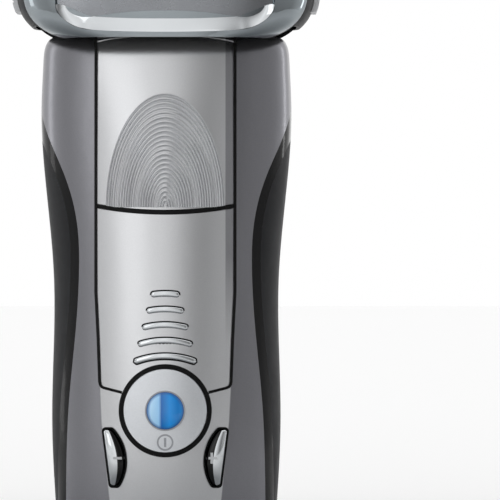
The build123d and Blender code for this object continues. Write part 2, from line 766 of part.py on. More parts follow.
def make_trimmer(shell, cavity):
    body = shell & trimmer_block(0, trimmer_low, trimmer_high)
    blade_y = -trimmer_inner + comb_thickness
    comb_y = blade_y + comb_thickness + 5 * sheet_gap
    w = trimmer_half_width - teeth_inset
    comb_w, comb_low = w + blade_stroke + teeth_side_gap, trimmer_high - comb_height
    recess = trimmer_slab(-comb_w, comb_w, -far, comb_y, comb_low, far)
    body -= recess
    save("trimmer_body", keep_largest(body))

    comb_face = comb_outline(comb_w, comb_low + sheet_gap, trimmer_high, 0)
    save("trimmer_comb", trimmer_sheet(comb_face, blade_y + sheet_gap, comb_y))
    blade_face = comb_outline(w - teeth_side_gap, trimmer_high - blade_height, trimmer_high - blade_drop,
                              tooth_pitch / 2)
    save("trimmer_blade", trimmer_sheet(blade_face, -trimmer_inner, blade_y - sheet_gap / 2))

    guide = trimmer_slab(-guide_half_width, guide_half_width, -guide_inner, guide_outer,
                         trimmer_low - guide_foot, trimmer_high + guide_head)
    guide -= trimmer_slab(-trimmer_half_width - trimmer_fit, trimmer_half_width + trimmer_fit,
                          -trimmer_inner - trimmer_fit, far, -far, far)
    save("trimmer_guide", keep_largest(guide & cavity))


def comb_outline(half_w, z0, z1, shift):
    """Flat comb with pointed-off teeth along its upper edge, in the trimmer's X-Z plane."""
    face = Pos(0, (z0 + z1) / 2) * Rectangle(2 * half_w, z1 - z0)
    count = int((2 * half_w - 1) / tooth_pitch)
    teeth = []
    for i in range(count):
        x = (i - (count - 1) / 2) * tooth_pitch + shift
        if abs(x) < half_w - teeth_side_gap:
            tip_z = z1 + tooth_length
            teeth.append(make_face(Polyline(
                (x - tooth_base, z1 - 0.2), (x + tooth_base, z1 - 0.2), (x + tooth_tip, tip_z),
                (x - tooth_tip, tip_z), close=True,
            )))
    return face + teeth


def trimmer_sheet(face, y0, y1):
    """Sheet of an X-Z outline between two local Y planes of the trimmer."""
    flat = Pos(0, y1, 0) * extrude(front * face, amount=y1 - y0)
    return trimmer_plane() * flat


def make_carriage():
    """Internal frame that joins the thumb slide to the trimmer's foot."""
    low = panel_cut_height + stem_rise
    w = carriage_half_width
    plate_front = panel_bed - bed_thickness - carriage_gap
    plate_rear = plate_front - carriage_thickness
    stem = slab(-stem_half_width, stem_half_width, -panel_bed, -plate_rear, low, low + stem_height)
    plate = slab(-w, w, -plate_front, -plate_rear, low - 1, low + stem_height + 1)
    arm = slab(w - arm_width, w, -plate_rear, arm_reach, low - 1, low - 1 + arm_height)
    save("trimmer_carriage", stem + plate + both_sides(arm))


# ---- Head -----------------------------------------------------------------------------
def head_solid(inset_w=0.0, inset_d=0.0, z_shift=0.0):
    rings = [
        superellipse(lip_z + z + z_shift, head_half_width - dw - inset_w, head_half_depth - dd - inset_d,
                     head_power)
        for z, dw, dd in head_stations
    ]
    return Solid.make_loft(rings)


def scoop_outline():
    """Deep U in the bezel that the cassette's skirt hangs in."""
    w = scoop_half_width
    side_z = lip_z + scoop_side_height
    right = [(x, lip_z + z) for x, z in scoop_edge]
    right += [(w - scoop_corner[0], lip_z + scoop_corner[1]), (w, side_z)]
    curve = Spline(*right, tangents=[(1, 0), (0, 1)])
    left = mirror(curve, about=Plane.YZ)
    top = Polyline((w, side_z), (w, head_top + 5), (-w, head_top + 5), (-w, side_z))
    return make_face([curve, top, left])


def skirt_outline():
    """Cassette skirt: sloping ends, two cusps and an arch between them."""
    w = cassette_half_width
    cusp = (skirt_cusp_x, lip_z + skirt_cusp_height)
    left = (-cusp[0], cusp[1])
    arch = ThreePointArc(left, (0, lip_z + skirt_mid_height), cusp)
    rest = Polyline(cusp, (w, lip_z + skirt_end_height), (w, head_top + 1), (-w, head_top + 1),
                    (-w, lip_z + skirt_end_height), left)
    return make_face([arch, rest])


def make_head():
    black = head_solid()
    inner = head_solid(head_wall, head_wall)
    chamber_low = hinge_z + ceiling_rise + floor_thickness
    notch = both_sides(slab(end_notch_x, far, -end_notch_half_depth, end_notch_half_depth,
                            0, hinge_z - end_notch_rise))
    neck_room = inner & slab(-far, far, -far, far, 0, hinge_z + ceiling_rise)
    chamber = head_solid(chamber_inset_w, chamber_inset_d) & slab(
        -chamber_half_width, chamber_half_width, -far, far, chamber_low, head_top - deck_thickness
    )
    side_rooms = both_sides(release_room())

    housing = black - neck_room - notch - chamber - side_rooms
    bracket = slab(yoke_outer + bracket_gap, bracket_outer, -bracket_radius, bracket_radius,
                   hinge_z, hinge_z + ceiling_rise + floor_thickness / 2)
    bracket += rod_x(yoke_outer + bracket_gap, bracket_outer, bracket_radius)
    housing += both_sides(bracket)
    housing -= both_sides(rod_x(yoke_outer, far / 2, hinge_pin_radius + hinge_clearance)
                          & slab(0, bracket_outer + 0.01, -far, far, 0, far * 3))
    for side in (-1, 1):
        housing -= drive_slot(side, 0.0)
    save("head_housing", keep_largest(housing))

    chrome = head_solid(bezel_inset, -bezel_thickness) - black - notch
    recess = from_front(scoop_outline(), far, 0) - head_solid(0, scoop_depth - bezel_thickness)
    front_bezel = (chrome & slab(-far, far, -far, -6, 0, far * 3)) - recess
    front_bezel = keep_largest(front_bezel)
    save("bezel_front", front_bezel)
    save("bezel_rear", mirror(front_bezel, about=Plane.XZ))

    # motor and its two counter-moving bars
    low = chamber_low
    high = head_top - deck_thickness - drive_bar_height - motor_headroom
    motor = slab(-motor_half_width, motor_half_width, -motor_half_depth, motor_half_depth, low, high)
    motor = fillet(motor.edges().filter_by(Axis.Z), motor_corner)
    bore_w, bore_d = motor_half_width - motor_wall, motor_bore_half_depth
    motor -= slab(-bore_w, bore_w, -bore_d, bore_d, low + motor_base, far * 3)
    save("motor_housing", motor)
    coil = slab(-coil_half_width, coil_half_width, -coil_half_depth, coil_half_depth,
                low + motor_base, high - coil_drop)
    coil = fillet(coil.edges().filter_by(Axis.Z), coil_corner)
    save("motor_coil", coil)
    for side, name in ((-1, "front"), (1, "rear")):
        y = side * foil_offset
        bar_low = high + bar_lift
        bar = slab(-bar_half_length, bar_half_length, y - bar_half_depth, y + bar_half_depth,
                   bar_low, bar_low + drive_bar_height)
        pin = Pos(0, y, bar_low + bar_lift) * extrude(
            Circle(drive_pin_radius), amount=foil_axis_z() + pin_engagement - bar_low - bar_lift
        )
        save("drive_bar_" + name, bar + pin)
    seals = []
    for side in (-1, 1):
        ring = drive_slot(side, 0.0) & slab(-far, far, -far, far, head_top - deck_thickness, head_top)
        ring -= drive_slot(side, -seal_width)
        seals.append(ring.solids()[0])
    save("drive_seals", Compound(children=seals))

    button = release_button()
    save("release_button_right", button)
    save("release_button_left", mirror(button, about=Plane.YZ))
    return black


def drive_slot(side, grow):
    """Slot in the head's deck that a drive pin moves along."""
    half = cutter_stroke + drive_pin_radius + slot_margin + grow
    height = 2 * (drive_pin_radius + slot_margin + grow)
    return Pos(0, side * foil_offset, head_top - deck_thickness - 0.5) * extrude(
        SlotOverall(2 * half, height), amount=far
    )


def release_room():
    """Pocket in the head's right end for the release button."""
    h = release_half_depth + release_gap
    return slab(head_half_width - release_inner, far, -h, h, lip_z + release_low - release_gap,
                lip_z + release_high + release_gap)


def release_button():
    """Right-hand button: follows the end of the head, standing a little proud."""
    x0 = head_half_width - release_inner + release_travel + release_spring_room
    form = head_solid(-release_proud, -release_proud)
    button = form & slab(x0, far, -release_half_depth, release_half_depth,
                         lip_z + release_low, lip_z + release_high)
    groove_x = head_half_width + release_proud - release_groove_depth
    for i in range(release_groove_count):
        z = lip_z + release_low + release_groove_first + i * release_groove_pitch
        button -= slab(groove_x, far, -far, far, z - release_groove_half, z + release_groove_half)
    return keep_largest(button)


# ---- Cassette -------------------------------------------------------------------------
def make_cassette():
    low = head_top + seat_gap
    rings = [
        superellipse(low + cassette_height * share, cassette_half_width - dw, cassette_half_depth - dd,
                     cassette_power)
        for share, dw, dd in cassette_stations
    ]
    block = Solid.make_loft(rings)
    floor = low + cassette_floor
    room_w, room_d = cassette_half_width - cassette_wall, foil_offset + foil_radius + foil_room
    block -= slab(-room_w, room_w, -room_d, room_d, floor, far * 4)
    for y in (-foil_offset, foil_offset):
        block -= slab(-window_half_width, window_half_width, y - window_half_depth, y + window_half_depth,
                      0, far * 4)
    rib = slab(-room_w, room_w, rib_inner, rib_outer, floor - 0.2, floor + rib_height)
    block += rib + mirror(rib, about=Plane.XZ)

    outline = from_front(skirt_outline(), far, 6)
    outer = bezel_thickness - skirt_front_gap
    skirt = (head_solid(0, -outer) - head_solid(0, skirt_thickness - outer)) & outline
    rise = 3 * seat_gap        # the same layer a little higher, to reach into the block
    hanger = (head_solid(0, -outer, rise) - head_solid(0, skirt_thickness - outer, rise)) & outline
    hanger_w = cassette_half_width - hanger_inset
    hanger &= slab(-hanger_w, hanger_w, -far, far, head_top - 1, far * 4)
    skirt += hanger
    frame = block + skirt + mirror(skirt, about=Plane.XZ)
    save("cassette_frame", keep_largest(frame))


def half_tube(radius, thickness, half_length, y, z_axis, leg):
    """Arch along X with straight legs."""
    outer = Circle(radius) & (Pos(0, radius) * Rectangle(4 * radius, 2 * radius))
    outer += Pos(0, -leg / 2) * Rectangle(2 * radius, leg)
    inner = Circle(radius - thickness) & (Pos(0, radius) * Rectangle(4 * radius, 2 * radius))
    inner += Pos(0, -leg / 2 - 0.01) * Rectangle(2 * (radius - thickness), leg + 0.02)
    section = Plane(origin=(-half_length, y, z_axis), x_dir=(0, 1, 0), z_dir=(1, 0, 0)) * (outer - inner)
    return extrude(section, amount=2 * half_length)


def foil_axis_z():
    """Height of the foils' centre line at rest."""
    return head_top + seat_gap + cassette_floor + foil_lift + foil_float + foil_leg


def make_foils():
    floor = head_top + seat_gap + cassette_floor
    axis_z = foil_axis_z()
    end_section = Circle(foil_radius) & (Pos(0, foil_radius) * Rectangle(4 * foil_radius, 2 * foil_radius))
    end_section += Pos(0, -foil_leg / 2) * Rectangle(2 * foil_radius, foil_leg)
    for side, name in ((-1, "front"), (1, "rear")):
        y = side * foil_offset
        foil = half_tube(foil_radius, foil_thickness, foil_half_length, y, axis_z, foil_leg)
        save("foil_" + name, foil)
        ends = []
        for x0 in (-foil_half_length - foil_end, foil_half_length):
            section = Plane(origin=(x0, y, axis_z), x_dir=(0, 1, 0), z_dir=(1, 0, 0)) * end_section
            ends.append(extrude(section, amount=foil_end).solids()[0])
        save("foil_ends_" + name, Compound(children=ends))
        save("cutter_" + name, cutter(y, axis_z))

    comb_top = floor + middle_height
    z0 = floor + foil_float + foil_lift
    guard = slab(-foil_half_length, foil_half_length, -middle_half_width, middle_half_width, z0, comb_top)
    inner_x, inner_y = foil_half_length - middle_end_wall, middle_half_width - middle_side_wall
    guard -= slab(-inner_x, inner_x, -inner_y, inner_y, 0, comb_top - middle_roof)
    count = int((2 * foil_half_length - 3 * middle_end_wall) / middle_tooth_pitch)
    slot_half, slot_low = middle_slot / 2, comb_top - middle_slot_depth
    slots = []
    for i in range(count):
        x = (i - (count - 1) / 2) * middle_tooth_pitch
        slots.append(slab(x - slot_half, x + slot_half, -far, -middle_spine, slot_low, far * 4))
        slots.append(slab(x - slot_half, x + slot_half, middle_spine, far, slot_low, far * 4))
    save("middle_trimmer_comb", guard - slots)
    blade_x, blade_y = inner_x - cutter_stroke - blade_end_gap, inner_y - blade_side_gap
    blade = slab(-blade_x, blade_x, -blade_y, blade_y, z0 + blade_foot,
                 comb_top - middle_roof - blade_top_gap)
    save("middle_trimmer_blade", blade)


def cutter(y, axis_z):
    """Cutter block: a core with a row of arched blades, and a socket for the drive pin."""
    half_disc = Circle(foil_radius - foil_thickness - cutter_gap)
    keep = Pos(0, foil_radius / 2) * Rectangle(4 * foil_radius, foil_radius + 2 * cutter_foot)
    blade_face = half_disc & keep
    core_face = Circle(cutter_core_radius) & keep
    start = Plane(origin=(-cutter_half_length, y, axis_z), x_dir=(0, 1, 0), z_dir=(1, 0, 0))
    core = extrude(start * core_face, amount=2 * cutter_half_length)
    count = int((2 * cutter_half_length - cutter_blade_thickness) / cutter_blade_pitch) + 1
    blades = []
    for i in range(count):
        x = i * cutter_blade_pitch
        face = Pos(x, 0, 0) * (start * blade_face)
        blades.append(extrude(face, amount=cutter_blade_thickness))
    block = core + blades
    block -= Pos(0, y, axis_z - pin_socket_low) * extrude(
        Circle(drive_pin_radius + socket_clearance), amount=pin_socket_height
    )
    return block


os.makedirs("parts", exist_ok=True)
make_handle()
make_inside()
make_carriage()
make_hinge()
make_head()
make_cassette()
make_foils()
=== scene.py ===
import math
import bpy
import bmesh
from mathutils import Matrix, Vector
from mathutils.bvhtree import BVHTree


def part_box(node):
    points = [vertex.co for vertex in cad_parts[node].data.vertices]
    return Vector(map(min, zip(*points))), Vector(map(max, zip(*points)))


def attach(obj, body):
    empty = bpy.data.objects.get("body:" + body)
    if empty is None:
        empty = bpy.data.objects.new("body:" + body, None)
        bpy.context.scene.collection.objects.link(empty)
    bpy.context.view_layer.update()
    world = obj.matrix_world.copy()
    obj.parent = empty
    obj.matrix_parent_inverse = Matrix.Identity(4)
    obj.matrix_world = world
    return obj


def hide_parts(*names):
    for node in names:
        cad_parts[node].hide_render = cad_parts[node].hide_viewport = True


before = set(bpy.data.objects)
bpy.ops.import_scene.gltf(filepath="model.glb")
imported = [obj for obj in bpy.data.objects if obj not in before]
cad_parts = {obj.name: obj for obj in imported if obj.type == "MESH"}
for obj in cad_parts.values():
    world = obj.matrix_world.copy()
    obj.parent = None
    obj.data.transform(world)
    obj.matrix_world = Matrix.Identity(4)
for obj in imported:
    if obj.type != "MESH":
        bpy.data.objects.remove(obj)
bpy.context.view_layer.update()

mm = 0.001
print("frame loaded,", len(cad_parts), "nodes")


# materials
def srgb(hexColour):
    # hex to linear
    def channel(text):
        v = int(text, 16) / 255
        return v / 12.92 if v <= 0.04045 else ((v + 0.055) / 1.055) ** 2.4
    return tuple(channel(hexColour[i:i + 2]) for i in (1, 3, 5)) + (1.0,)


def addNode(tree, kind, settings=None, links=None):
    node = tree.nodes.new(kind)
    for key, value in (settings or {}).items():
        if isinstance(key, int) or key in node.inputs:
            node.inputs[key].default_value = value
        else:
            setattr(node, key, value)
    for key, source in (links or {}).items():
        tree.links.new(source, node.inputs[key])
    return node


def newMaterial(name, shader):
    mat = bpy.data.materials.new(name)
    mat.use_nodes = True
    tree = mat.node_tree
    bsdf = tree.nodes["Principled BSDF"]
    for key, value in shader.items():
        bsdf.inputs[key].default_value = value
    coords = addNode(tree, "ShaderNodeTexCoord")
    return mat, tree, bsdf, coords.outputs["Object"]


def grainScale(sizeMm):
    # noise scale whose grain is about sizeMm wide, on coordinates in metres
    return 1.0 / (sizeMm * mm)


def grain(tree, coords, sizeMm, detail):
    return addNode(tree, "ShaderNodeTexNoise", {"Scale": grainScale(sizeMm), "Detail": detail},
                   {"Vector": coords})


def tint(tree, coords, bsdf, dark, light, sizeMm):
    # soft variation between two colours
    noise = grain(tree, coords, sizeMm, 3.0)
    mix = addNode(tree, "ShaderNodeMix", {"data_type": "RGBA"}, {"Factor": noise.outputs["Fac"]})
    mix.inputs[6].default_value = srgb(dark)
    mix.inputs[7].default_value = srgb(light)
    tree.links.new(mix.outputs[2], bsdf.inputs["Base Color"])


def roughRange(tree, coords, bsdf, low, high, sizeMm):
    # roughness that drifts, like polish and handling marks
    noise = grain(tree, coords, sizeMm, 4.0)
    drift = addNode(tree, "ShaderNodeMapRange", {"To Min": low, "To Max": high},
                    {"Value": noise.outputs["Fac"]})
    tree.links.new(drift.outputs["Result"], bsdf.inputs["Roughness"])


def grainBump(tree, coords, bsdf, sizeMm, depthMm, strength=0.5):
    noise = grain(tree, coords, sizeMm, 2.0)
    bump = addNode(tree, "ShaderNodeBump", {"Strength": strength, "Distance": depthMm * mm},
                   {"Height": noise.outputs["Fac"]})
    tree.links.new(bump.outputs["Normal"], bsdf.inputs["Normal"])


# silver lacquer: mm throughout
lacquer = {
    # light is the lit tone and the second pair is the painted shade tone of the same silver
    "light": ("#d0d1d3", "#d8d9db"), "paintedShade": ("#86868b", "#8e8e93"), "grainMm": 0.3,
    # half-width of the raised centre against height, both mm; outside it the flanks take the painted shade
    # tone
    "centre": ((0, 9.0), (1.6, 10.0), (5, 11.0), (12, 12.2), (22, 13.4), (40, 15.2), (73.8, 16.8),
               (132, 16.8)),
    "widthScale": 20.0, "blend": 0.12,
    # painted shade on the facet down the right of the panel: where it starts, where it is full, how much of
    # the painted shade tone
    "facetX": 14.35, "facetBlend": 0.1, "facetLow": 58.0, "facetFull": 80.0, "facetPaintedShade": 0.8,
    "metal": 0.85, "coat": 0.2, "coatRough": 0.15, "rough": (0.27, 0.29), "roughMm": 20.0,
}


def silverLacquer():
    # sprayed aluminium flake under clear coat: a soft bright sheen; painted shade colours the flanks and the
    # right facet darker than the raised centre
    mat, tree, bsdf, coords = newMaterial("silver metallic lacquer on ABS",
                                          {"Metallic": lacquer["metal"], "Coat Weight": lacquer["coat"],
                                           "Coat Roughness": lacquer["coatRough"]})
    k = lacquer
    noise = grain(tree, coords, k["grainMm"], 1.0)
    tones = []
    for name in ("light", "paintedShade"):
        mix = addNode(tree, "ShaderNodeMix", {"data_type": "RGBA"}, {"Factor": noise.outputs["Fac"]})
        mix.inputs[6].default_value, mix.inputs[7].default_value = [srgb(one) for one in k[name]]
        tones.append(mix)
    place = addNode(tree, "ShaderNodeSeparateXYZ", None, {"Vector": coords})
    side = addNode(tree, "ShaderNodeMath", {"operation": "ABSOLUTE"}, {0: place.outputs["X"]})
    top = k["centre"][-1][0]
    height = addNode(tree, "ShaderNodeMapRange", {"From Max": top * mm}, {"Value": place.outputs["Z"]})
    width = addNode(tree, "ShaderNodeValToRGB", None, {"Fac": height.outputs["Result"]})
    stops = width.color_ramp.elements
    stops.remove(stops[1])
    for z, half in k["centre"]:
        stop = stops[0] if z == 0 else stops.new(z / top)
        level = half / k["widthScale"]
        stop.color = (level, level, level, 1)
    edge = addNode(tree, "ShaderNodeMath", {"operation": "MULTIPLY_ADD", 1: -k["widthScale"] * mm},
                   {0: width.outputs["Color"], 2: side.outputs["Value"]})
    flank = addNode(tree, "ShaderNodeMapRange", {"From Min": -k["blend"] * mm, "From Max": k["blend"] * mm},
                    {"Value": edge.outputs["Value"]})
    both = addNode(tree, "ShaderNodeMix", {"data_type": "RGBA"}, {"Factor": flank.outputs["Result"]})
    tree.links.new(tones[0].outputs[2], both.inputs[6])
    tree.links.new(tones[1].outputs[2], both.inputs[7])
    # painted shade: the facet down the right edge of the plate is coloured darker
    past = addNode(tree, "ShaderNodeMapRange",
                   {"From Min": (k["facetX"] - k["facetBlend"]) * mm,
                    "From Max": (k["facetX"] + k["facetBlend"]) * mm, "To Max": k["facetPaintedShade"]},
                   {"Value": place.outputs["X"]})
    fade = addNode(tree, "ShaderNodeMapRange",
                   {"From Min": k["facetLow"] * mm, "From Max": k["facetFull"] * mm},
                   {"Value": place.outputs["Z"]})
    facet = addNode(tree, "ShaderNodeMath", {"operation": "MULTIPLY"},
                    {0: past.outputs["Result"], 1: fade.outputs["Result"]})
    deeper = addNode(tree, "ShaderNodeMix", {"data_type": "RGBA"}, {"Factor": facet.outputs["Value"]})
    tree.links.new(both.outputs[2], deeper.inputs[6])
    tree.links.new(tones[1].outputs[2], deeper.inputs[7])
    tree.links.new(deeper.outputs[2], bsdf.inputs["Base Color"])
    roughRange(tree, coords, bsdf, *k["rough"], k["roughMm"])
    return mat


def polishedChrome(name="bright chrome plating", dark="#d3d7da", light="#dfe2e4"):
    # chrome plating on ABS: mirror reflections with a faint ripple
    mat, tree, bsdf, coords = newMaterial(name, {"Metallic": 1.0})
    tint(tree, coords, bsdf, dark, light, 9.0)
    roughRange(tree, coords, bsdf, 0.05, 0.10, 7.0)
    return mat


def smokedChrome():
    # satin smoked plating: darker, blurred reflections
    mat, tree, bsdf, coords = newMaterial("satin smoked chrome plating", {"Metallic": 1.0})
    tint(tree, coords, bsdf, "#8b8e92", "#989a9e", 5.0)
    roughRange(tree, coords, bsdf, 0.24, 0.3, 4.0)
    return mat


def discSatin():
    # spun satin metal finish on the round button: soft circular sheen
    mat, tree, bsdf, coords = newMaterial("satin spun button finish", {"Metallic": 0.6})
    tint(tree, coords, bsdf, "#dcdfe3", "#e8ebef", 0.4)
    roughRange(tree, coords, bsdf, 0.26, 0.32, 3.0)
    return mat


def pianoBlack():
    # polished black ABS: deep gloss with sharp highlights
    mat, tree, bsdf, coords = newMaterial("gloss black ABS", {"IOR": 1.53, "Specular IOR Level": 0.3})
    tint(tree, coords, bsdf, "#040405", "#070709", 4.0)
    roughRange(tree, coords, bsdf, 0.08, 0.16, 8.0)
    return mat


def softTouch():
    # moulded soft-touch elastomer: matt charcoal with a fine leathery grain
    mat, tree, bsdf, coords = newMaterial("soft-touch elastomer",
                                          {"IOR": 1.5, "Specular IOR Level": 0.3})
    tint(tree, coords, bsdf, "#141518", "#1c1d20", 1.2)
    roughRange(tree, coords, bsdf, 0.5, 0.62, 3.0)
    grainBump(tree, coords, bsdf, 0.35, 0.02, 0.5)
    return mat


def mattBlack():
    # spark-eroded black ABS: dull, with a fine pebble
    mat, tree, bsdf, coords = newMaterial("matt black ABS", {"IOR": 1.53, "Specular IOR Level": 0.25})
    tint(tree, coords, bsdf, "#101113", "#18191b", 1.0)
    roughRange(tree, coords, bsdf, 0.42, 0.55, 4.0)
    grainBump(tree, coords, bsdf, 0.3, 0.015, 0.4)
    return mat


def greyAbs():
    # light grey moulded ABS: satin, slightly grained
    mat, tree, bsdf, coords = newMaterial("light grey ABS", {"IOR": 1.53})
    tint(tree, coords, bsdf, "#a7a9ac", "#b9bbbe", 1.5)
    roughRange(tree, coords, bsdf, 0.32, 0.42, 3.0)
    grainBump(tree, coords, bsdf, 0.25, 0.01, 0.35)
    return mat


def sealRubber():
    # moulded silicone: dull black with a dusty bloom; also used as painted shade in the gaps round the panel
    # and the bars
    mat, tree, bsdf, coords = newMaterial("black silicone and painted gap shade", {"IOR": 1.42, "Specular IOR Level": 0.25})
    tint(tree, coords, bsdf, "#030303", "#070708", 0.8)
    roughRange(tree, coords, bsdf, 0.45, 0.6, 2.0)
    return mat


lensTintAndPaintedLight = {
    # the blue is the acrylic's own tint; the pale left is a painted highlight, the darker rim is painted
    # shade, and the emission is a painted glow
    "left": "#5f93c8", "right": "#2b86c8", "rim": "#2a4f86", "rimShadeFrom": 0.82, "rimShadeTo": 1.02, "paintedGlow": 0.35,
    # share of the width from the left, colour; the pale stops near the left are a painted highlight
    "bands": ((0.12, "#a6cdea"), (0.33, "#8fc0e6"), (0.4, "#0f5fa8"), (0.62, "#0d86d2"), (0.85, "#1270b8")),
}


def blueLens(boxLow, boxHigh):
    # tinted clear dome with painted light: a painted highlight makes it pale sky blue on the left, deep cyan
    # to the right, with painted shade at the rim and a painted glow
    mat, tree, bsdf, coords = newMaterial("blue tinted acrylic",
                                          {"IOR": 1.49, "Coat Weight": 0.3, "Coat Roughness": 0.02,
                                           "Roughness": 0.08})
    split = addNode(tree, "ShaderNodeSeparateXYZ", None, {"Vector": coords})
    place = addNode(tree, "ShaderNodeMapRange",
                    {"From Min": boxLow[0], "From Max": boxHigh[0]}, {"Value": split.outputs["X"]})
    ramp = addNode(tree, "ShaderNodeValToRGB", None, {"Fac": place.outputs["Result"]})
    stops = ramp.color_ramp.elements
    stops[0].position, stops[0].color = 0.0, srgb(lensTintAndPaintedLight["left"])
    stops[1].position, stops[1].color = 1.0, srgb(lensTintAndPaintedLight["right"])
    for position, colour in lensTintAndPaintedLight["bands"]:
        stop = stops.new(position)
        stop.color = srgb(colour)
    # painted shade: the lens colour darkens towards its rim
    middle = [(low + high) / 2 for low, high in zip(boxLow, boxHigh)]
    away = addNode(tree, "ShaderNodeVectorMath",
                   {"operation": "DISTANCE", 1: (middle[0], boxLow[1], middle[2])}, {0: coords})
    radius = (boxHigh[0] - boxLow[0]) / 2
    rim = addNode(tree, "ShaderNodeMapRange",
                  {"From Min": lensTintAndPaintedLight["rimShadeFrom"] * radius, "From Max": lensTintAndPaintedLight["rimShadeTo"] * radius},
                  {"Value": away.outputs["Value"]})
    dark = addNode(tree, "ShaderNodeMix", {"data_type": "RGBA"}, {"Factor": rim.outputs["Result"]})
    tree.links.new(ramp.outputs["Color"], dark.inputs[6])
    dark.inputs[7].default_value = srgb(lensTintAndPaintedLight["rim"])
    tree.links.new(dark.outputs[2], bsdf.inputs["Base Color"])
    # painted glow: the lens colour is also emitted, so the lens glows
    tree.links.new(dark.outputs[2], bsdf.inputs["Emission Color"])
    bsdf.inputs["Emission Strength"].default_value = lensTintAndPaintedLight["paintedGlow"]
    return mat


def brushedSteel():
    # ground stainless: fine parallel scratches along X
    mat, tree, bsdf, coords = newMaterial("brushed stainless steel", {"Metallic": 1.0})
    mapping = addNode(tree, "ShaderNodeMapping", {"Scale": (1, 12, 12)}, {"Vector": coords})
    tint(tree, mapping.outputs["Vector"], bsdf, "#8e9093", "#b4b6b9", 1.5)
    roughRange(tree, mapping.outputs["Vector"], bsdf, 0.24, 0.38, 1.5)
    return mat


foilHoles = {"pitchMm": 0.8, "stray": 0.12, "holeEdge": 0.30, "webEdge": 0.42, "deepMm": 0.05,
             "hole": "#1b1b1d", "web": "#c9cbce"}


def foilSteel():
    # electroformed nickel foil: bright, pierced by rows of dark holes, drawn 0.8 mm apart so that they show
    mat, tree, bsdf, coords = newMaterial("perforated nickel foil", {"Metallic": 1.0, "Roughness": 0.22})
    k = foilHoles
    cells = addNode(tree, "ShaderNodeTexVoronoi",
                    {"Scale": grainScale(k["pitchMm"]), "Randomness": k["stray"]}, {"Vector": coords})
    ramp = addNode(tree, "ShaderNodeValToRGB", None, {"Fac": cells.outputs["Distance"]})
    stops = ramp.color_ramp.elements
    stops[0].position, stops[0].color = k["holeEdge"], srgb(k["hole"])
    stops[1].position, stops[1].color = k["webEdge"], srgb(k["web"])
    tree.links.new(ramp.outputs["Color"], bsdf.inputs["Base Color"])
    bump = addNode(tree, "ShaderNodeBump", {"Strength": 0.6, "Distance": k["deepMm"] * mm},
                   {"Height": ramp.outputs["Color"]})
    tree.links.new(bump.outputs["Normal"], bsdf.inputs["Normal"])
    return mat


def plainMetal(name, dark, light, rough=(0.2, 0.35)):
    # small metal parts: faint blotches and handling marks
    mat, tree, bsdf, coords = newMaterial(name, {"Metallic": 1.0})
    tint(tree, coords, bsdf, dark, light, 1.0)
    roughRange(tree, coords, bsdf, rough[0], rough[1], 1.5)
    return mat


def plainPlastic(name, dark, light, rough=(0.3, 0.45)):
    # small moulded parts: slight mottling under a satin skin
    mat, tree, bsdf, coords = newMaterial(name, {"IOR": 1.5})
    tint(tree, coords, bsdf, dark, light, 0.9)
    roughRange(tree, coords, bsdf, rough[0], rough[1], 1.5)
    return mat


# reach of the painted shade round the object and half the floor's width, m
paper = {"near": "#96989a", "far": "#fbfbfb", "nearReach": 0.08, "farReach": 0.26, "drop": 0.2 * mm,
         "half": 6.0}


def stagePaper():
    # matt seamless paper: white, with painted shade going to pale grey round the object
    mat, tree, bsdf, coords = newMaterial("white seamless paper", {"Roughness": 0.9})
    far = addNode(tree, "ShaderNodeVectorMath", {"operation": "LENGTH"}, {"Vector": coords})
    ramp = addNode(tree, "ShaderNodeValToRGB", None, {"Fac": far.outputs["Value"]})
    stops = ramp.color_ramp.elements
    stops[0].position, stops[0].color = paper["nearReach"], srgb(paper["near"])
    stops[1].position, stops[1].color = paper["farReach"], srgb(paper["far"])
    tree.links.new(ramp.outputs["Color"], bsdf.inputs["Base Color"])
    return mat


lensLow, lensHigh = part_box("power_lens")
finishes = {
    "silver": silverLacquer(),
    "chrome": polishedChrome(),
    "blackChrome": polishedChrome("dark chrome plating", "#8f969a", "#9ca3a7"),
    "smoked": smokedChrome(),
    "disc": discSatin(),
    "gloss": pianoBlack(),
    "soft": softTouch(),
    "matt": mattBlack(),
    "grey": greyAbs(),
    "siliconeAndGapShade": sealRubber(),
    "pale": plainPlastic("pale grey ABS", "#cfd1d3", "#dcdddf"),
    "blue": blueLens(lensLow, lensHigh),
    "steel": brushedSteel(),
    "foil": foilSteel(),
    "brass": plainMetal("turned brass", "#b08d4a", "#c9a662"),
    "copper": plainMetal("enamelled copper winding", "#a5562c", "#c0703e"),
    "board": plainPlastic("green solder mask", "#0d3b20", "#145430"),
    "wrap": plainPlastic("blue shrink wrap", "#1d4c7c", "#28619a", (0.15, 0.25)),
    "smokedGlass": plainPlastic("smoked display window", "#08090b", "#101216", (0.05, 0.1)),
    "ink": plainPlastic("grey pad print", "#a4a6ac", "#b2b4ba", (0.4, 0.5)),
}
print("materials made")

